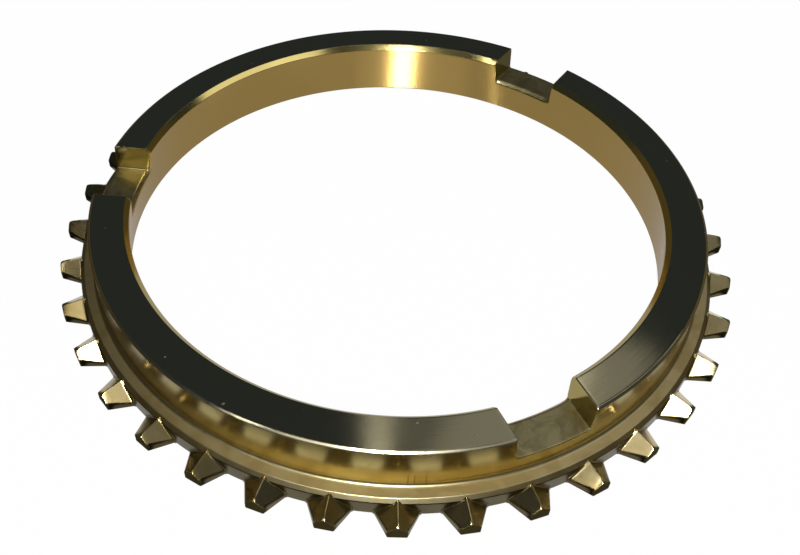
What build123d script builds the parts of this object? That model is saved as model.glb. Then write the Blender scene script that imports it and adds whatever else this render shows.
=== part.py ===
from build123d import *
import math
import os

# Synchronizer ring, one piece of brass. Millimetres, +Z up.
# The origin is on the axis, in the plane of the toothed end face, which is the lower one.
# The three key slots open upwards, and a gap between two teeth lies below the middle of each.

# Turned blank
WALL_RADIUS = 65.0
RING_HEIGHT = 14.0
WALL_EDGE_ROUND = 0.6
WALL_FOOT_ROUND = 0.9
FLANGE_WIDTH = 3.4
FLANGE_THICKNESS = 4.1
FLANGE_EDGE_CHAMFER = 0.8

# Friction cone, which widens towards the toothed face
MOUTH_WALL = 6.7
CONE_ANGLE = 7.0
CONE_TOP_CHAMFER = 1.15
CONE_MOUTH_CHAMFER = 0.4

# Dog teeth, each with a roof-shaped chamfer on the slots' side
TOOTH_COUNT = 36
TOOTH_LENGTH = 4.45
TOOTH_ROOT_WIDTH = 8.1
TOOTH_TIP_WIDTH = 3.5
ROOF_ANGLE = 37.5
RIDGE_SET_BACK = 0.2
RIDGE_FALL = 0.8

# Key slots
SLOT_COUNT = 3
FIRST_SLOT_ANGLE = 60.0
SLOT_WIDTH = 16.0
SLOT_DEPTH = 5.8
SLOT_DRAFT = 3.6
SLOT_FLOOR_FILLET = 0.4
SLOT_LIP_CHAMFER = 0.9
SLOT_EDGE_ROUND = 0.2

# How far a cutting or limiting shape runs past the material
OVERRUN = 2.0

# Gap below which two faces count as lying in one plane
TOUCH = 0.001

ROOT_RADIUS = WALL_RADIUS + FLANGE_WIDTH
TIP_RADIUS = ROOT_RADIUS + TOOTH_LENGTH
CONE_MOUTH_RADIUS = WALL_RADIUS - MOUTH_WALL
SLOT_FLOOR = RING_HEIGHT - SLOT_DEPTH
TOOTH_PITCH = 360.0 / TOOTH_COUNT


def cone_radius(height):
    """Radius of the friction cone at a height above the toothed face."""
    return CONE_MOUTH_RADIUS - height * math.tan(math.radians(CONE_ANGLE))


def corner(outline, x, y):
    """The corner of a flat outline that lies at x, y."""
    return outline.vertices().sort_by_distance(Vector(x, y, 0))[0]


def turned_blank():
    """The ring before its teeth and slots: cone bore, wall and flange, turned about Z."""
    bore_top = cone_radius(RING_HEIGHT)
    section = Polygon(
        (CONE_MOUTH_RADIUS, 0),
        (ROOT_RADIUS, 0),
        (ROOT_RADIUS, FLANGE_THICKNESS),
        (WALL_RADIUS, FLANGE_THICKNESS),
        (WALL_RADIUS, RING_HEIGHT),
        (bore_top, RING_HEIGHT),
        align=None,
    )
    section = chamfer(corner(section, ROOT_RADIUS, FLANGE_THICKNESS), FLANGE_EDGE_CHAMFER)
    section = fillet(corner(section, WALL_RADIUS, FLANGE_THICKNESS), WALL_FOOT_ROUND)
    section = fillet(corner(section, WALL_RADIUS, RING_HEIGHT), WALL_EDGE_ROUND)
    section = chamfer(corner(section, bore_top, RING_HEIGHT), CONE_TOP_CHAMFER)
    section = chamfer(corner(section, CONE_MOUTH_RADIUS, 0), CONE_MOUTH_CHAMFER)
    return revolve(Plane.XZ * section, Axis.Z)


def roof_bar():
    """Long bar with a roof-shaped top, whose ridge falls from a tooth's root to its tip."""
    ridge_height = FLANGE_THICKNESS - RIDGE_SET_BACK
    fall = math.atan2(RIDGE_FALL, TOOTH_LENGTH)
    depth = ridge_height + OVERRUN
    half_width = depth / math.tan(math.radians(ROOF_ANGLE))
    gable = Polygon((0, 0), (-half_width, -depth), (half_width, -depth), align=None)
    across_ridge = Plane(
        origin=(ROOT_RADIUS, 0, ridge_height),
        x_dir=(0, 1, 0),
        z_dir=(math.cos(fall), 0, -math.sin(fall)),
    )
    return extrude(across_ridge * gable, TOOTH_LENGTH + OVERRUN, both=True)


def dog_tooth():
    """One tooth on the +X axis: a wedge seen from above, under a roof, its root end inside the flange."""
    seat = ROOT_RADIUS - FLANGE_EDGE_CHAMFER
    taper = (TOOTH_ROOT_WIDTH - TOOTH_TIP_WIDTH) / TOOTH_LENGTH
    seat_width = TOOTH_ROOT_WIDTH + taper * FLANGE_EDGE_CHAMFER
    wedge = Polygon(
        (seat, -seat_width / 2),
        (TIP_RADIUS, -TOOTH_TIP_WIDTH / 2),
        (TIP_RADIUS, TOOTH_TIP_WIDTH / 2),
        (seat, seat_width / 2),
        align=None,
    )
    return extrude(wedge, FLANGE_THICKNESS) & roof_bar()


def key_slot():
    """Cutting shape of one slot on the +X axis: flat floor, sides that lean outwards."""
    lean = math.tan(math.radians(SLOT_DRAFT))
    floor_half = SLOT_WIDTH / 2 - lean * SLOT_DEPTH
    mouth_half = SLOT_WIDTH / 2 + lean * OVERRUN
    mouth = RING_HEIGHT + OVERRUN
    outline = Polygon(
        (-floor_half, SLOT_FLOOR),
        (floor_half, SLOT_FLOOR),
        (mouth_half, mouth),
        (-mouth_half, mouth),
        align=None,
    )
    lower = [corner(outline, side * floor_half, SLOT_FLOOR) for side in (-1, 1)]
    outline = fillet(lower, SLOT_FLOOR_FILLET)
    start = cone_radius(RING_HEIGHT) - SLOT_WIDTH / 2
    inner_end = Plane(origin=(start, 0, 0), x_dir=(0, 1, 0), z_dir=(1, 0, 0))
    return extrude(inner_end * outline, WALL_RADIUS - start + OVERRUN)


def around(shape, count, first_angle):
    """Copies of a shape, evenly spaced about the axis."""
    return [Rot(Z=first_angle + 360.0 / count * i) * shape for i in range(count)]


def distance_from_axis(item):
    """Distance of a face's or an edge's middle from the Z axis."""
    middle = item.center()
    return math.hypot(middle.X, middle.Y)


def slot_floors(ring):
    """The flat floors of the slots."""
    level = ring.faces().filter_by(Axis.Z)
    return [face for face in level if abs(face.center().Z - SLOT_FLOOR) < TOUCH]


def slot_sides(ring):
    """The leaning side faces of the slots, which lie between the bore and the wall."""
    flat = ring.faces().filter_by(GeomType.PLANE)
    upper = [face for face in flat if face.center().Z > SLOT_FLOOR]
    inner = [face for face in upper if distance_from_axis(face) < WALL_RADIUS]
    steepest = math.sin(math.radians(2 * SLOT_DRAFT))
    return [face for face in inner if abs(face.normal_at().Z) < steepest]


def break_slot_lips(ring):
    """Chamfers the edge between each slot's floor and the bore."""
    lips = [floor.edges().sort_by(distance_from_axis)[0] for floor in slot_floors(ring)]
    return chamfer(lips, SLOT_LIP_CHAMFER)


def round_slot_mouths(ring):
    """Rounds the edges of each slot's sides, apart from those that run into the floor fillet."""
    fillet_top = SLOT_FLOOR + SLOT_FLOOR_FILLET
    edges = [edge for side in slot_sides(ring) for edge in side.edges()]
    free = [edge for edge in edges if edge.bounding_box().max.Z > fillet_top]
    return fillet(free, SLOT_EDGE_ROUND)


def synchronizer_ring():
    """Blank with its teeth added and its slots cut."""
    ring = turned_blank()
    ring = ring + around(dog_tooth(), TOOTH_COUNT, FIRST_SLOT_ANGLE + TOOTH_PITCH / 2)
    ring = ring - around(key_slot(), SLOT_COUNT, FIRST_SLOT_ANGLE)
    ring = break_slot_lips(ring)
    return round_slot_mouths(ring)


os.makedirs("parts", exist_ok=True)
export_step(synchronizer_ring(), "parts/synchronizer_ring.step")
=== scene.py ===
import math

import bmesh
import bpy
import numpy as np
from mathutils import Matrix, Quaternion, Vector


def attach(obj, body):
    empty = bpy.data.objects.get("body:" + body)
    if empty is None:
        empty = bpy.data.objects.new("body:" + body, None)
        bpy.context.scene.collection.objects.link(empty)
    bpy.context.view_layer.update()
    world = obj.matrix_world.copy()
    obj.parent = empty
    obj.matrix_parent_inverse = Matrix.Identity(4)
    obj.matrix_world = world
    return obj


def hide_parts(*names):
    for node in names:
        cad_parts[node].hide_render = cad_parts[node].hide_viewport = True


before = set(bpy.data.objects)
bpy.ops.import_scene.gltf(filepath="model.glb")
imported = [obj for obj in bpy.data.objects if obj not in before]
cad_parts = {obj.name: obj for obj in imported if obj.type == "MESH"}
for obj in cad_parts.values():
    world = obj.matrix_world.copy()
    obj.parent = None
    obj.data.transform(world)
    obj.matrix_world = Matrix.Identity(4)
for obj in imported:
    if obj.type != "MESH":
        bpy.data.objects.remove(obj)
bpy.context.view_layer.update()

# Turned body, in metres, with +Z up and the axis at the origin
RING_HEIGHT = 0.014
WALL_RADIUS = 0.065
RIM_BEVEL_WIDTH = 0.00052
RIM_BEVEL_HEIGHT = 0.00035
FOOT_ROUND = 0.0009
FLANGE_RADIUS = 0.0684
FLANGE_THICKNESS = 0.0041
FLANGE_CHAMFER = 0.0008
FLANGE_EASE = 0.00016
BOTTOM_ROUND = 0.0001
MOUTH_RADIUS = 0.0583
MOUTH_CHAMFER = 0.0004
CONE_SLOPE = math.tan(math.radians(7.0))
RIM_CHAMFER = 0.00115

# Key slots
SLOT_COUNT = 3
FIRST_SLOT = math.radians(60.0)
SLOT_WIDTH = 0.016
SLOT_FLOOR = 0.0082
SLOT_LEAN = math.radians(3.6)
SLOT_FILLET = 0.0004
SLOT_CORNER = 0.00025
SLOT_ZONE = 0.010
LIP_CHAMFER = 0.0009
SLOT_EASE = 0.0002
TOP_EASE = 0.00006

# How far an eased edge stands out, from 0 for a flat cut to 1 for a full round
FLOOR_BULGE = 0.1
EDGE_BULGE = 0.9

# Dog teeth
TOOTH_COUNT = 36
TOOTH_LENGTH = 0.00445
TOOTH_ROOT_WIDTH = 0.0081
TOOTH_TIP_WIDTH = 0.0035
ROOF_SLOPE = math.tan(math.radians(37.5))
RIDGE_HEIGHT = 0.0039
RIDGE_FALL = 0.00065
RIDGE_WEAR = 0.0003
RIDGE_LAND = 0.00004
RIDGE_EASE = 0.00006
EAVE_EASE = 0.00035
FOOT_EASE = 0.0001
ROOT_FILLET = 0.0002
NOSE_ROUND = 0.00015
TOOTH_SEAT = (0.0011, 0.0006, 0.00025)
SEAT_FOOT = (0.0005, 0.0002, 0.0)
WORN_FROM = 0.72
WORN_LAND = 0.00028
WORN_EASE = 0.0001
NOSE_NARROWING = 0.6
NOSE_RISE = 0.3
FILLET_RISE = 2
FILLET_STATIONS = 6
SPAN_STATIONS = 16
NOSE_STATIONS = 9

# Points along each stretch of a profile
CUT_POINTS = 6
EASE_POINTS = 5
FOOT_POINTS = 8
BOTTOM_POINTS = 5
SLOT_ARC_POINTS = 6
SLOT_STRAIGHT_POINTS = 8
SLOT_RIM_POINTS = 4

# Grid of the turned body. The rows of the bore lie at shares of the way up, those of the top face
# at shares of the way out and those of the wall at shares of the way down
BORE_ROWS = (0.0, 0.01, 0.15, 0.3, 0.45, 0.6, 0.75, 0.88, 0.912, 0.9202, 0.927, 0.96)
TOP_ROWS = (0.04, 0.35, 0.65, 0.96)
WALL_ROWS = (0.0157, 0.0308, 0.0341, 0.0403, 0.083, 0.2, 0.35, 0.5, 0.65, 0.8, 0.98, 1.0)
FLANGE_ROWS = (0.0018, 0.0003)
BOTTOM_ROWS = (0.065, 0.062)
NARROW_ROW = 0.0001
THIN_ROW = 0.00003

# Where the columns stand at the foot, in degrees from the middle of a slot, for each stretch of
# the slot's outline in turn
COLUMN_TURNS = (0, 6.3, 7.0, 10.2, 10.9, 12.0, 60.0)
RIM_COLUMNS = 56

# Points along each side of a tooth's section, as shares of it
SIDE_SHARES = (0.04, 0.35, 0.65, 0.96)


class Socket:
    """A shader socket. An operator on it adds the Math node that does the same."""

    def __init__(self, shader, socket):
        self.shader = shader
        self.socket = socket

    def math(self, operation, *others):
        """Adds a Math node, with this socket first and the others after it."""
        values = {0: self}
        for place, other in enumerate(others, 1):
            values[place] = other
        return self.shader.node("ShaderNodeMath", {"operation": operation}, values)

    def __add__(self, other):
        return self.math("ADD", other)

    def __sub__(self, other):
        return self.math("SUBTRACT", other)

    def __mul__(self, other):
        return self.math("MULTIPLY", other)

    def __rsub__(self, other):
        settings = {"operation": "SUBTRACT"}
        return self.shader.node("ShaderNodeMath", settings, {0: other, 1: self})

    def other(self, name):
        """Another output of the same node."""
        return Socket(self.shader, self.socket.node.outputs[name])

    __radd__ = __add__
    __rmul__ = __mul__


class Shader:
    """The node tree of a material or of the world, built up node by node."""

    def __init__(self, owner):
        owner.use_nodes = True
        self.tree = owner.node_tree
        self.tree.nodes.clear()

    def node(self, kind, settings=None, sockets=None, output=0):
        """Adds a node and gives one output: settings first, then the sockets' values or links."""
        made = self.tree.nodes.new(kind)
        for name, value in (settings or {}).items():
            setattr(made, name, value)
        for name, value in (sockets or {}).items():
            if isinstance(value, Socket):
                self.tree.links.new(value.socket, made.inputs[name])
            else:
                made.inputs[name].default_value = value
        return Socket(self, made.outputs[output]) if len(made.outputs) else made

    def above(self, value, limit, width):
        """1 where a value is past a limit and 0 short of it, with a soft step of some width."""
        return self.node("ShaderNodeMapRange", {"interpolation_type": "SMOOTHSTEP"}, {
            "Value": value, "From Min": limit - width / 2, "From Max": limit + width / 2,
        })

    def below(self, value, limit, width):
        """The reverse: 1 short of the limit and 0 past it."""
        return 1 - self.above(value, limit, width)

    def mix(self, how, share, first, second):
        """Two colours mixed in one of the Mix node's ways, by share of the second."""
        settings = {"data_type": "RGBA", "blend_type": how}
        return self.node("ShaderNodeMix", settings, {0: share, 6: first, 7: second}, 2)

    def blend(self, share, first, second):
        """A colour between two, by share of the second."""
        return self.mix("MIX", share, first, second)

    def darken(self, share, colour, factor):
        """A colour multiplied by another, by share."""
        return self.mix("MULTIPLY", share, colour, factor)

    def noise(self, place, scale, detail, roughness=0.5, distortion=0.0):
        """Cloudy noise in space, about 0.5."""
        return self.node("ShaderNodeTexNoise", None, {
            "Vector": place, "Scale": scale, "Detail": detail, "Roughness": roughness,
            "Distortion": distortion,
        })

    def lines(self, value, scale):
        """Noise of one value only, which draws lines where that value stays the same."""
        return self.node("ShaderNodeTexNoise", {"noise_dimensions": "1D"}, {
            "W": value, "Scale": scale, "Detail": 2.0,
        })

    def metal(self, colour, roughness, height):
        """Bare metal whose normal follows a height, in metres."""
        bump = self.node("ShaderNodeBump", None, {
            "Strength": 1.0, "Distance": 1.0, "Height": height,
        })
        return self.node("ShaderNodeBsdfPrincipled", None, {
            "Base Color": colour, "Metallic": 1.0, "Roughness": roughness, "Normal": bump,
        })


# Colours of the brass, by surface
BRASS = (0.62, 0.50, 0.18, 1.0)
TOP_BRASS = (0.54, 0.48, 0.29, 1.0)
BORE_BRASS = (0.58, 0.39, 0.12, 1.0)
BAND_BRASS = (0.54, 0.455, 0.25, 1.0)
ROOF_BRASS = (0.64, 0.52, 0.26, 1.0)
SLOT_BRASS = (0.60, 0.52, 0.27, 1.0)
# Dark brass for the roots and flanks between the teeth: painted shade
SHADED_ROOT_BRASS = (0.11, 0.09, 0.04, 1.0)
RIM_BRASS = (0.76, 0.68, 0.44, 1.0)

# What tarnish, painted shade and stains multiply it by
TARNISH_AND_SHADE = (0.54, 0.52, 0.46, 1.0)
STAIN = (0.87, 0.83, 0.72, 1.0)

# How rough it is at least, and what each surface or mark adds
SMOOTHEST = 0.1
CLOUDS_ROUGHNESS = 0.06
TOP_ROUGHNESS = -0.05
OUTSIDE_ROUGHNESS = 0.04
BAND_ROUGHNESS = 0.16
FLAT_ROUGHNESS = 0.36
RIM_ROUGHNESS = 0.03
SLOT_ROUGHNESS = 0.25
ROOT_ROUGHNESS = 0.16
ROOF_ROUGHNESS = 0.02
DUST_ROUGHNESS = 0.5
WALL_ROUGHNESS = 0.065

# How steep a roof, the flange's chamfer and an underside are: the upward part of their normal
ROOF_FACING = 0.75
CHAMFER_FACING = 0.64
UNDERSIDE_FACING = -0.5

# How far from its edge each finish begins or ends, and over how wide a step it changes
SOFT_STEP = 0.0001
BORE_REACH = 0.00012
TOP_REACH = 0.00003
BAND_END = 0.0006
FLAT_START = 0.0007
FLAT_END = 0.0009
TIP_REACH = 0.0003
LIP_REACH = 0.0006
SLOT_REACH = 0.0002
RIM_REACH = 0.00042
OUTSIDE_REACH = 0.0004

# Radius from which the bevel at the rim has a finish of its own
RIM_INSIDE = 0.064

# How many patches or lines of a mark there are to a metre
STAINS = 90.0
CLOUDS = 160.0
SMEARS = 260.0
GRAINS = 700.0
SPECKS = 800.0
THREAD_LINES = 2500.0
LATHE_LINES = 6000.0

# Painted shade on the ring's left, smears, nicks at the foot of the wall, and depths of the fine
# marks
SHADE_SIDE = -0.035
SHADE_BLEND = 0.06
SMEAR_SHARE = 0.7
NICK_ANGLES = (-83.5, -82.5, -80.7)
NICK_HALF_WIDTH = 0.0017
NICK_BLEND = 0.001
NICK_TOP = 0.0072
TURNED_DEPTH = 0.000003
PITTED_DEPTH = 0.000012

# The thread in the bore: its slope, how smooth it is, and the share of it that faces upwards
THREAD_SLOPE = 1.0
THREAD_ROUGHNESS = 0.13
THREAD_SHARE = 0.14
THREAD_EVEN = 0.6
THREAD_UNEVEN = 0.8


def worn_brass():
    """Turned brass, with traces of the lathe and of use, and painted shade on its left and between
    the teeth.
    """
    material = bpy.data.materials.new("worn_brass")
    shader = Shader(material)
    above, below = shader.above, shader.below
    place = shader.node("ShaderNodeTexCoord", None, None, "Object")
    facing = shader.node("ShaderNodeSeparateXYZ", None, {0: place.other("Normal")}, "Z")
    x = shader.node("ShaderNodeSeparateXYZ", None, {0: place})
    y, z = x.other("Y"), x.other("Z")
    radius = (x * x + y * y).math("SQRT")

    # Bore, top face and outside
    on_bore = below(radius + z * CONE_SLOPE, MOUTH_RADIUS + BORE_REACH, 0.00004)
    on_top = above(z, RING_HEIGHT - TOP_REACH, 0.00002)
    outside = above(radius, WALL_RADIUS - OUTSIDE_REACH, 0.0002) * (1 - on_top)
    near_rim = above(radius, RIM_INSIDE, 0.0002) * above(z, RING_HEIGHT - RIM_REACH, 0.00004)
    on_rim = near_rim * (1 - on_top)
    past_wall = above(radius, WALL_RADIUS + 0.00005, SOFT_STEP)
    on_wall = outside * (1 - past_wall) * (1 - on_rim)

    # Flange: the band on it, flat from just past the foot of the wall, and its chamfer
    upright = below(facing, ROOF_FACING, 0.03) * above(facing, UNDERSIDE_FACING, 0.1)
    in_flange = below(radius, FLANGE_RADIUS + 0.0001, SOFT_STEP)
    on_chamfer = above(facing, CHAMFER_FACING, 0.04) * upright * in_flange
    past_band = above(radius, FLANGE_RADIUS - BAND_END, SOFT_STEP)
    on_band = past_wall * (1 - past_band * (1 - on_chamfer))
    past_foot = above(radius, WALL_RADIUS + FLAT_START, 0.0003)
    flat_band = past_foot * below(radius, FLANGE_RADIUS - FLAT_END, SOFT_STEP)

    # Teeth: roofs and undersides, tips, and the roots and flanks between them
    on_roof = past_band * (1 - upright)
    on_root = past_band * upright * (1 - on_chamfer)
    on_tip = above(radius, FLANGE_RADIUS + TOOTH_LENGTH - TIP_REACH, 0.0002) * upright

    # Floors of the slots, with their lips
    in_wall = below(radius, WALL_RADIUS - 0.0001, 0.00005) * (1 - on_bore)
    over_lip = above(z, SLOT_FLOOR - LIP_REACH, 0.0002)
    on_slot = over_lip * below(z, SLOT_FLOOR + SLOT_REACH, 0.0002) * in_wall

    colour = BRASS
    for where, brass in (
        (on_top, TOP_BRASS),
        (on_bore, BORE_BRASS),
        (on_band, BAND_BRASS),
        (on_slot, SLOT_BRASS),
        (on_roof, ROOF_BRASS),
        # Painted shade on the roots and flanks between the teeth
        (on_root * (1 - on_tip), SHADED_ROOT_BRASS),
        (on_rim, RIM_BRASS),
    ):
        colour = shader.blend(where, colour, brass)

    # Painted shade on the ring's left, stains, smears in the slots, nicks at the foot of the wall
    # and dust on the top face
    shaded_left = below(x, SHADE_SIDE, SHADE_BLEND) * outside
    colour = shader.darken(shaded_left, colour, TARNISH_AND_SHADE)
    stained = above(shader.noise(place, STAINS, 4.0, 0.6, 0.4), 0.52, 0.16)
    colour = shader.darken(stained * outside * (1 - on_rim), colour, STAIN)
    smeared = above(shader.noise(place, SMEARS, 3.0, 0.6, 1.0), 0.5, 0.3)
    colour = shader.darken(smeared * on_slot * SMEAR_SHARE, colour, TARNISH_AND_SHADE)
    turn = y.math("ARCTAN2", x)
    nicked = 0.0
    for angle in NICK_ANGLES:
        off = (turn - math.radians(angle)).math("ABSOLUTE")
        nicked = nicked + below(off, NICK_HALF_WIDTH, NICK_BLEND)
    low_wall = above(z, FLANGE_THICKNESS + 0.0004, 0.0004) * below(z, NICK_TOP, 0.001)
    colour = shader.darken(nicked * low_wall * outside, colour, TARNISH_AND_SHADE)
    dusty = above(shader.noise(place, SPECKS, 1.0), 0.8, 0.03) * on_top

    roughness = SMOOTHEST
    for where, added in (
        (shader.noise(place, CLOUDS, 3.0), CLOUDS_ROUGHNESS),
        (on_top, TOP_ROUGHNESS),
        (outside, OUTSIDE_ROUGHNESS),
        (on_band, BAND_ROUGHNESS),
        (flat_band, FLAT_ROUGHNESS),
        (on_rim, RIM_ROUGHNESS),
        (on_slot, SLOT_ROUGHNESS),
        (on_root, ROOT_ROUGHNESS),
        (on_roof, ROOF_ROUGHNESS),
        (dusty, DUST_ROUGHNESS),
        (on_wall, WALL_ROUGHNESS),
    ):
        roughness = roughness + where * added

    # The lathe's fine lines, and a cast grain on the band
    turned = shader.lines(radius, LATHE_LINES) * (1 - on_bore) * (1 - on_slot) * TURNED_DEPTH
    pitted = shader.noise(place, GRAINS, 3.0) * on_band * PITTED_DEPTH
    surface = shader.metal(colour, roughness, turned + pitted)

    # A fine thread in the bore, too fine to see one by one: the share of it that faces upwards
    flank = shader.metal(BORE_BRASS, THREAD_ROUGHNESS, z * -THREAD_SLOPE)
    uneven = shader.lines(z, THREAD_LINES) * THREAD_SHARE * THREAD_UNEVEN
    thread = on_bore * (THREAD_SHARE * THREAD_EVEN + uneven)
    whole = shader.node("ShaderNodeMixShader", None, {0: thread, 1: surface, 2: flank})
    shader.node("ShaderNodeOutputMaterial", None, {"Surface": whole})
    return material


def grid_mesh(name, points, ring_of_rows):
    """Mesh over a grid of points, rows by columns. Each row closes on itself.

    In a ring of rows the last one joins the first, else a cap closes each end."""
    rows, columns = points.shape[:2]
    place = np.arange(rows * columns).reshape(rows, columns)
    here = place if ring_of_rows else place[:-1]
    above = np.roll(place, -1, axis=0) if ring_of_rows else place[1:]
    faces = np.stack(
        (here, above, np.roll(above, -1, axis=1), np.roll(here, -1, axis=1)), axis=-1
    ).reshape(-1, 4)
    faces = faces.tolist()
    if not ring_of_rows:
        faces += [place[0].tolist(), place[-1][::-1].tolist()]
    mesh = bpy.data.meshes.new(name)
    mesh.from_pydata(points.reshape(-1, 3).tolist(), [], faces)
    mesh.shade_smooth()
    return mesh


def outer_radius(height):
    """The wall's radius at a height: upright, then less in proportion up the bevel."""
    up_bevel = np.clip((height - RING_HEIGHT) / RIM_BEVEL_HEIGHT + 1, 0, 1)
    return WALL_RADIUS - RIM_BEVEL_WIDTH * up_bevel


def inner_radius(height):
    """The bore's radius at a height: the greater of the cone's and that of the rim's chamfer.

    The cone narrows upwards and the chamfer widens upwards, each in proportion to the height."""
    cone_top = MOUTH_RADIUS - RING_HEIGHT * CONE_SLOPE
    along = RIM_CHAMFER * math.cos(math.atan(CONE_SLOPE))
    across = RIM_CHAMFER * (1 - math.sin(math.atan(CONE_SLOPE)))
    cone = MOUTH_RADIUS - height * CONE_SLOPE
    chamfer = cone_top + RIM_CHAMFER - (RING_HEIGHT - height) * across / along
    return np.maximum(cone, chamfer)


def arc(centre_radius, centre_height, radius, first, last, count):
    """Radii and heights along an arc of the section, from one angle to another in degrees."""
    turn = np.radians(np.linspace(first, last, count))
    return centre_radius + radius * np.cos(turn), centre_height + radius * np.sin(turn)


def cut_corner(before, corner, after, ease):
    """Radii and heights on a parabola that cuts the corner of a profile."""
    before, corner, after = np.array(before), np.array(corner), np.array(after)
    first = corner + (before - corner) / np.linalg.norm(before - corner) * ease
    last = corner + (after - corner) / np.linalg.norm(after - corner) * ease
    t = np.linspace(0, 1, CUT_POINTS)[:, None]
    return ((1 - t) ** 2 * first + 2 * t * (1 - t) * corner + t**2 * last).T


def slot_outline():
    """Half a slot and the rim beside it: place across, height and the direction out of the metal.

    A flat floor, a quarter-round fillet, a leaning side and a small round corner, in that order,
    then the level rim. Also gives the number of columns in each stretch."""
    lean = SLOT_LEAN

    def side(height):
        return SLOT_WIDTH / 2 - (RING_HEIGHT - height) * math.tan(lean)

    fillet_height = SLOT_FLOOR + SLOT_FILLET
    fillet_place = side(fillet_height) - SLOT_FILLET / math.cos(lean)
    corner_height = RING_HEIGHT - SLOT_CORNER
    corner_place = side(corner_height) + SLOT_CORNER / math.cos(lean)
    in_fillet = np.linspace(-math.pi / 2, -lean, SLOT_ARC_POINTS)
    in_corner = np.linspace(math.pi - lean, math.pi / 2, SLOT_ARC_POINTS)
    up_side = np.linspace(fillet_height, corner_height, SLOT_STRAIGHT_POINTS)[1:-1]
    floor = np.linspace(0, fillet_place, SLOT_STRAIGHT_POINTS)[:-1]
    rim = np.linspace(corner_place, SLOT_ZONE, SLOT_RIM_POINTS)[1:]
    across = np.concatenate((
        floor,
        fillet_place + SLOT_FILLET * np.cos(in_fillet),
        side(up_side),
        corner_place + SLOT_CORNER * np.cos(in_corner),
        rim,
    ))
    height = np.concatenate((
        np.full(len(floor), SLOT_FLOOR),
        fillet_height + SLOT_FILLET * np.sin(in_fillet),
        up_side,
        corner_height + SLOT_CORNER * np.sin(in_corner),
        np.full(len(rim), RING_HEIGHT),
    ))
    out_across = np.concatenate((
        np.zeros(len(floor)),
        -np.cos(in_fillet),
        np.full(len(up_side), -math.cos(lean)),
        np.cos(in_corner),
        np.zeros(len(rim)),
    ))
    out_up = np.concatenate((
        np.ones(len(floor)),
        -np.sin(in_fillet),
        np.full(len(up_side), math.sin(lean)),
        np.sin(in_corner),
        np.ones(len(rim)),
    ))
    stretches = np.cumsum([len(floor), len(in_fillet), len(up_side), len(in_corner), len(rim)])
    return across, height, out_across, out_up, stretches


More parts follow.
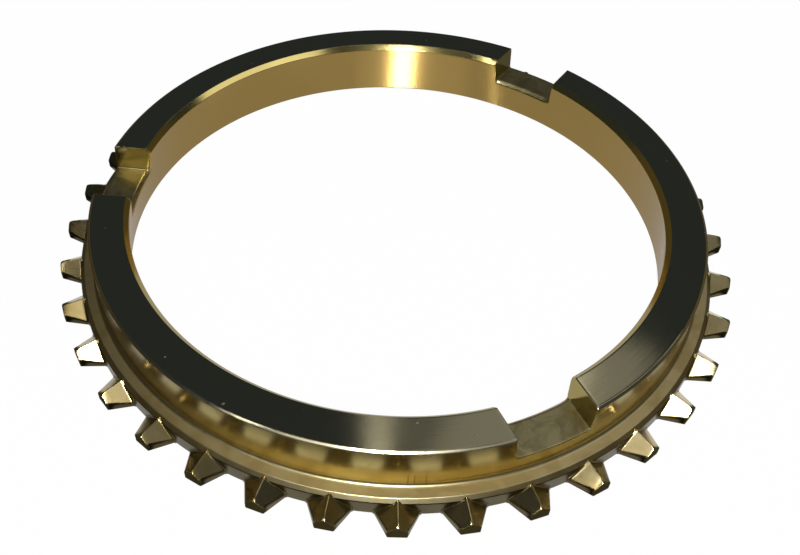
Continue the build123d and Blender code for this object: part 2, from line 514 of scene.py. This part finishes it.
def half_sector():
    """A sixth of the turned body, from the middle of a slot to midway between slots.

    Every column starts at a point of the slot's outline. From it one run goes down the bore and
    one down the wall, each fanned out so that the columns stand evenly at the foot, and the
    section below is the same for all. Gives radius, angle and height, rows by columns."""
    across, height, out_across, out_up, stretches = slot_outline()
    in_slot = len(across)
    half_turn = math.pi / SLOT_COUNT
    share = np.concatenate((np.zeros(in_slot), np.linspace(0, 1, RIM_COLUMNS)[1:]))
    more = len(share) - in_slot
    across = np.append(across, np.full(more, SLOT_ZONE))
    height = np.append(height, np.full(more, RING_HEIGHT))
    out_across = np.append(out_across, np.zeros(more))
    out_up = np.append(out_up, np.ones(more))
    marks = np.concatenate(([0], stretches - 1, [len(share) - 1]))
    column = np.arange(len(share))
    foot = np.radians(np.interp(column, marks, COLUMN_TURNS))
    bore_ease = np.interp(column, marks, [LIP_CHAMFER] * 2 + [SLOT_EASE] * 2 + [TOP_EASE] * 3)
    wall_ease = np.interp(column, marks, [SLOT_EASE] * 4 + [TOP_EASE] * 3)
    bulge = np.interp(column, marks, [FLOOR_BULGE] * 2 + [EDGE_BULGE] * 5)

    def angle(radius, place):
        return np.arcsin(place / radius) * (1 - share) + half_turn * share

    def eased_edge(radius_at, ease, inward, fullness):
        """Points from the face below an edge to the one above it, on a parabola that cuts it."""
        low_across = across - out_across * ease
        low_height = height - out_up * ease
        low = np.stack((radius_at(low_height), low_across, low_height))
        edge = np.stack((radius_at(height), across, height))
        high = np.stack((radius_at(height) + inward * ease, across, height))
        middle = edge * fullness + (low + high) / 2 * (1 - fullness)
        t = np.linspace(0, 1, EASE_POINTS)[:, None, None]
        points = (1 - t) ** 2 * low + 2 * t * (1 - t) * middle + t**2 * high
        return points[:, 0], points[:, 1], points[:, 2]

    rows = []
    bore_r, bore_w, bore_z = eased_edge(inner_radius, bore_ease, 1, bulge)
    wall_r, wall_w, wall_z = eased_edge(outer_radius, wall_ease, -1, EDGE_BULGE)
    start = angle(bore_r[0], bore_w[0])
    for part in BORE_ROWS:
        z = MOUTH_CHAMFER + (bore_z[0] - MOUTH_CHAMFER) * part
        rows.append((inner_radius(z), foot + (start - foot) * part, z))
    rows += [(r, angle(r, w), z) for r, w, z in zip(bore_r, bore_w, bore_z)]
    for part in TOP_ROWS:
        r = bore_r[-1] + (wall_r[-1] - bore_r[-1]) * part
        rows.append((r, angle(r, across), height))
    rows += [(r, angle(r, w), z) for r, w, z in zip(wall_r[::-1], wall_w[::-1], wall_z[::-1])]
    start = angle(wall_r[0], wall_w[0])
    foot_height = FLANGE_THICKNESS + FOOT_ROUND
    for part in WALL_ROWS:
        z = wall_z[0] + (foot_height - wall_z[0]) * part
        rows.append((outer_radius(z), start + (foot - start) * part, z))
    bottom_end = FLANGE_RADIUS - BOTTOM_ROUND
    mouth = MOUTH_RADIUS + MOUTH_CHAMFER
    chamfer_start = (FLANGE_RADIUS - FLANGE_CHAMFER, FLANGE_THICKNESS)
    chamfer_end = (FLANGE_RADIUS, FLANGE_THICKNESS - FLANGE_CHAMFER)
    foot_end = WALL_RADIUS + FOOT_ROUND
    below = [
        np.stack(arc(foot_end, foot_height, FOOT_ROUND, 180, 270, FOOT_POINTS))[:, 1:],
        [[foot_end + NARROW_ROW], [FLANGE_THICKNESS]],
        cut_corner((WALL_RADIUS, FLANGE_THICKNESS), chamfer_start, chamfer_end, FLANGE_EASE),
        cut_corner(chamfer_start, chamfer_end, (FLANGE_RADIUS, 0), FLANGE_EASE),
        [[FLANGE_RADIUS] * 2, FLANGE_ROWS],
        arc(bottom_end, BOTTOM_ROUND, BOTTOM_ROUND, 0, -90, BOTTOM_POINTS),
        [[bottom_end - NARROW_ROW, *BOTTOM_ROWS, mouth + NARROW_ROW, mouth], [0] * 5],
        [[mouth - THIN_ROW], [THIN_ROW]],
    ]
    for r, z in np.concatenate([np.asarray(run) for run in below], axis=1).T:
        rows.append((np.full(len(foot), r), foot, np.full(len(foot), z)))
    return np.array([np.stack(row) for row in rows])


def turned_body():
    """The ring without its teeth: six mirrored sixths round the axis, closed on themselves."""
    sixth = half_sector()
    mirrored = sixth[:, :, 1:-1][:, :, ::-1].copy()
    mirrored[:, 1] = 2 * math.pi / SLOT_COUNT - mirrored[:, 1]
    third = np.concatenate((sixth, mirrored), axis=2)
    thirds = []
    for i in range(SLOT_COUNT):
        turned = third.copy()
        turned[:, 1] += FIRST_SLOT + 2 * math.pi / SLOT_COUNT * i
        thirds.append(turned)
    radius, turn, height = np.concatenate(thirds, axis=2).transpose(1, 0, 2)
    points = np.stack((radius * np.cos(turn), radius * np.sin(turn), height), axis=-1)
    return grid_mesh("turned_body", points, ring_of_rows=True)


def eased_loop(corners, cuts):
    """Loop through a section's corners, stations by corners, each corner cut by a parabola."""
    ahead = np.roll(corners, -1, axis=1) - corners
    behind = np.roll(corners, 1, axis=1) - corners
    ahead_step = ahead / np.linalg.norm(ahead, axis=-1, keepdims=True) * cuts[..., None]
    behind_step = behind / np.linalg.norm(behind, axis=-1, keepdims=True) * cuts[..., None]
    first, last = corners + behind_step, corners + ahead_step
    t = np.linspace(0, 1, EASE_POINTS)[:, None]
    curve = (1 - t) ** 2 * first[:, :, None] + t**2 * last[:, :, None]
    curve = curve + 2 * t * (1 - t) * corners[:, :, None]
    following = np.roll(first, -1, axis=1)
    s = np.array(SIDE_SHARES)[:, None]
    side = last[:, :, None] + (following - last)[:, :, None] * s
    return np.concatenate((curve, side), axis=2).reshape(len(corners), -1, 2)


def dog_tooth():
    """One tooth along +X: a six-cornered section carried outwards, narrowing to its tip.

    The section is a box under a roof with a narrow land for its ridge. The ridge falls outwards
    and is worn down at its end, where the nose is rounded over a quarter circle. At the flange a
    quarter-round fillet flares the root."""
    tip = FLANGE_RADIUS + TOOTH_LENGTH
    inside = FLANGE_RADIUS - np.array(TOOTH_SEAT)
    fillet_turn = np.linspace(0, math.pi / 2, FILLET_STATIONS)
    in_fillet = FLANGE_RADIUS + ROOT_FILLET * (1 - np.cos(fillet_turn))
    along = np.linspace(FLANGE_RADIUS + ROOT_FILLET, tip - NOSE_ROUND, SPAN_STATIONS)[1:-1]
    nose_turn = np.linspace(0, math.pi / 2, NOSE_STATIONS)
    in_nose = tip - NOSE_ROUND * (1 - np.sin(nose_turn))
    station = np.concatenate((inside, in_fillet, along, in_nose))
    seats = len(inside)
    flare = np.zeros(len(station))
    flare[:seats] = ROOT_FILLET
    flare[seats:seats + FILLET_STATIONS] = ROOT_FILLET * (1 - np.sin(fillet_turn))
    drop = np.zeros(len(station))
    drop[-NOSE_STATIONS:] = NOSE_ROUND * (1 - np.cos(nose_turn))
    out = (station - FLANGE_RADIUS) / TOOTH_LENGTH
    taper = (TOOTH_ROOT_WIDTH - TOOTH_TIP_WIDTH) / 2
    worn = np.clip((out - WORN_FROM) / (1 - WORN_FROM), 0, 1) ** 2
    half = TOOTH_ROOT_WIDTH / 2 - taper * out + flare - drop * NOSE_NARROWING
    ridge = RIDGE_HEIGHT - RIDGE_FALL * np.maximum(out, 0) - RIDGE_WEAR * worn - drop
    eave = RIDGE_HEIGHT - RIDGE_FALL * out - half * ROOF_SLOPE + flare * FILLET_RISE - drop
    foot = drop * NOSE_RISE
    foot[:seats] = SEAT_FOOT
    land = RIDGE_LAND + worn * WORN_LAND
    corners = np.stack((
        np.stack((-half, foot), axis=-1),
        np.stack((half, foot), axis=-1),
        np.stack((half, eave), axis=-1),
        np.stack((land, ridge), axis=-1),
        np.stack((-land, ridge), axis=-1),
        np.stack((-half, eave), axis=-1),
    ), axis=1)
    top = RIDGE_EASE + worn * WORN_EASE
    side = EAVE_EASE - worn * WORN_EASE
    low = np.full(len(station), FOOT_EASE)
    loops = eased_loop(corners, np.stack((low, low, side, top, top, side), axis=1))
    outwards = np.broadcast_to(station[:, None, None], (*loops.shape[:2], 1))
    return np.concatenate((outwards, loops), axis=-1)


def dog_teeth():
    """All the teeth, each a closed shell that runs into the flange, in one mesh."""
    tooth = dog_tooth()
    first = FIRST_SLOT + math.pi / TOOTH_COUNT
    meshes = []
    for i in range(TOOTH_COUNT):
        turn = first + 2 * math.pi / TOOTH_COUNT * i
        turned = np.stack((
            tooth[..., 0] * math.cos(turn) - tooth[..., 1] * math.sin(turn),
            tooth[..., 0] * math.sin(turn) + tooth[..., 1] * math.cos(turn),
            tooth[..., 2],
        ), axis=-1)
        meshes.append(grid_mesh("tooth", turned[::-1], ring_of_rows=False))
    return meshes


def joined(name, meshes):
    """One object from several meshes."""
    shape = bmesh.new()
    for mesh in meshes:
        shape.from_mesh(mesh)
        bpy.data.meshes.remove(mesh)
    whole = bpy.data.meshes.new(name)
    shape.to_mesh(whole)
    shape.free()
    whole.shade_smooth()
    piece = bpy.data.objects.new(name, whole)
    bpy.context.scene.collection.objects.link(piece)
    weighted = piece.modifiers.new("flat_faces", "WEIGHTED_NORMAL")
    weighted.weight = 100
    return piece


# The ring
ring = joined("ring", [turned_body()] + dog_teeth())
ring.data.materials.append(worn_brass())
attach(ring, "root")
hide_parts("synchronizer_ring")

# Floor
FLOOR_HALF = 1.5
FLOOR_GAP = 0.00002
FLOOR_COLOUR = (0.82, 0.82, 0.82, 1.0)
WHITE_SHARE = 0.985

# Painted pools of light and shadow that the floor shows to mirror rays: the brightness inside the
# ring, then from each radius on
PAINTED_INSIDE_LIGHT = 0.46
PAINTED_FLOOR_RINGS = ((0.066, 0.85), (0.0722, 0.05), (0.0765, 0.1))
PAINTED_RING_EDGE = 0.0008


def pale_floor():
    """A pale sheet whose own white shows to the camera, with the ring's shadow left on it, and
    whose painted rings of light and shadow show to mirror rays.
    """
    mesh = bpy.data.meshes.new("floor")
    corners = ((-1, -1), (1, -1), (1, 1), (-1, 1))
    points = [(x * FLOOR_HALF, y * FLOOR_HALF, -FLOOR_GAP) for x, y in corners]
    mesh.from_pydata(points, [], [(0, 1, 2, 3)])
    floor = bpy.data.objects.new("floor", mesh)
    bpy.context.scene.collection.objects.link(floor)
    material = bpy.data.materials.new("pale_floor")
    shader = Shader(material)
    seen = shader.node("ShaderNodeLightPath", None, None, "Is Camera Ray")
    mirrored = seen.other("Is Glossy Ray").math("MAXIMUM", seen.other("Is Transmission Ray"))
    place = shader.node("ShaderNodeTexCoord", None, None, "Object")
    away = shader.node("ShaderNodeVectorMath", {"operation": "LENGTH"}, {0: place}, "Value")
    # Painted light and shadow, in rings round the ring, for mirror rays
    painted_pool = before = PAINTED_INSIDE_LIGHT
    for start, brightness in PAINTED_FLOOR_RINGS:
        painted_pool = painted_pool + shader.above(away, start, PAINTED_RING_EDGE) * (brightness - before)
        before = brightness
    lit = shader.node("ShaderNodeBsdfDiffuse", None, {"Color": FLOOR_COLOUR})
    white = shader.node("ShaderNodeEmission", None, {
        "Color": seen + mirrored * painted_pool, "Strength": 1.0,
    })
    surface = shader.node("ShaderNodeMixShader", None, {
        0: seen * WHITE_SHARE + mirrored, 1: lit, 2: white,
    })

    # From below, the camera sees the ring through the floor
    below = shader.node("ShaderNodeNewGeometry", None, None, "Backfacing")
    clear = shader.node("ShaderNodeBsdfTransparent")
    surface = shader.node("ShaderNodeMixShader", None, {0: below * seen, 1: surface, 2: clear})
    shader.node("ShaderNodeOutputMaterial", None, {"Surface": surface})
    mesh.materials.append(material)


pale_floor()

# Camera, at the place that the photograph was taken from
CAMERA_PLACE = (0.00528, -0.147198, 0.143902)
CAMERA_AZIMUTH = 5.633
CAMERA_ELEVATION = 46.812
CAMERA_ROLL = 0.8935
FOCAL_PIXELS = 909.534
IMAGE_WIDTH = 800
SENSOR_WIDTH = 36.0
SHIFT_PIXELS = 47.82
CLIP_START = 0.01


def photo_camera():
    """A camera at the photograph's viewing angle."""
    data = bpy.data.cameras.new("camera")
    data.sensor_width = SENSOR_WIDTH
    data.lens = FOCAL_PIXELS / IMAGE_WIDTH * SENSOR_WIDTH
    data.shift_x = SHIFT_PIXELS / IMAGE_WIDTH
    data.clip_start = CLIP_START
    camera = bpy.data.objects.new("camera", data)
    bpy.context.scene.collection.objects.link(camera)
    turn = Matrix.Rotation(math.radians(CAMERA_AZIMUTH), 4, "Z")
    tilt = Matrix.Rotation(math.radians(90 - CAMERA_ELEVATION), 4, "X")
    roll = Matrix.Rotation(math.radians(CAMERA_ROLL), 4, "Z")
    camera.matrix_world = Matrix.Translation(CAMERA_PLACE) @ turn @ tilt @ roll
    bpy.context.scene.camera = camera


photo_camera()


def area_lamp(name, azimuth, elevation, distance, size, watts, roll):
    """A soft lamp round the ring, which shines at its middle. It may be rolled about that line."""
    data = bpy.data.lights.new(name, "AREA")
    data.shape = "RECTANGLE"
    data.size, data.size_y = size
    data.energy = watts
    lamp = bpy.data.objects.new(name, data)
    bpy.context.scene.collection.objects.link(lamp)
    a, e = math.radians(azimuth), math.radians(elevation)
    away = Vector((math.cos(a) * math.cos(e), math.sin(a) * math.cos(e), math.sin(e)))
    lamp.location = away * distance
    facing_ring = away.to_track_quat("Z", "Y") @ Quaternion((0, 0, 1), math.radians(roll))
    lamp.rotation_euler = facing_ring.to_euler()
    lamp.visible_camera = False


# Name, azimuth, elevation, distance, size, watts and roll
LAMPS = (
    # The main light, high behind the camera: band, foot of the wall and streak in the bore
    ("key_lamp", -87.2, 48.0, 0.45, (0.052, 0.11), 1.2, 0.0),
    # A wide box nearer the ring, for the roofs of the side teeth and the edge of the rim
    ("soft_box", -92.0, 48.6, 0.273, (0.19, 0.07), 0.029, 0.0),
    ("side_window", -4.6, 50.9, 0.2386, (0.18, 0.05), 0.034, -28.0),
    ("window", -40.0, 46.0, 0.58, (0.3, 0.09), 0.022, 0.0),
    # A narrow light for the second streak in the bore
    ("side_strip", -134.0, 48.0, 0.45, (0.013, 0.15), 0.055, 0.0),
    # A light overhead, for the ridges of the front teeth
    ("ceiling_strip", 90.0, 89.0, 0.3, (0.24, 0.03), 0.036, 0.0),
    # What the top face mirrors in front
    ("back_strip", 92.5, 61.4, 1.0, (0.031, 0.6), 0.034, 0.0),
    ("back_panel", 74.25, 64.5, 1.0, (0.285, 0.555), 0.05, 0.0),
    ("side_panel", 71.25, 64.5, 1.0, (0.223, 0.555), 0.062, 0.0),
    ("back_window", 72.0, 53.0, 1.0, (0.085, 0.07), 0.01, 0.0),
)
for lamp in LAMPS:
    area_lamp(*lamp)

# Room
DARK_ROOM = (0.031, 0.038, 0.048, 1.0)
WARM_ROOM = (0.088, 0.072, 0.038, 1.0)
WARM_TOP = 0.43
WARM_BLEND = 0.08
WHITE = (1.0, 1.0, 1.0, 1.0)


def dark_room():
    """A dark room, warmer and lighter near the floor. The camera sees white instead."""
    world = bpy.data.worlds.new("room")
    bpy.context.scene.world = world
    shader = Shader(world)
    seen = shader.node("ShaderNodeLightPath", None, None, "Is Camera Ray")
    direction = shader.node("ShaderNodeTexCoord", None, None, "Generated")
    height = shader.node("ShaderNodeSeparateXYZ", None, {0: direction}, "Z")
    around = shader.blend(shader.above(height, WARM_TOP, WARM_BLEND), WARM_ROOM, DARK_ROOM)
    background = shader.node("ShaderNodeBackground", None, {
        "Color": shader.blend(seen, around, WHITE), "Strength": 1.0,
    })
    shader.node("ShaderNodeOutputWorld", None, {"Surface": background})


dark_room()

bpy.context.scene.view_settings.view_transform = "Standard"
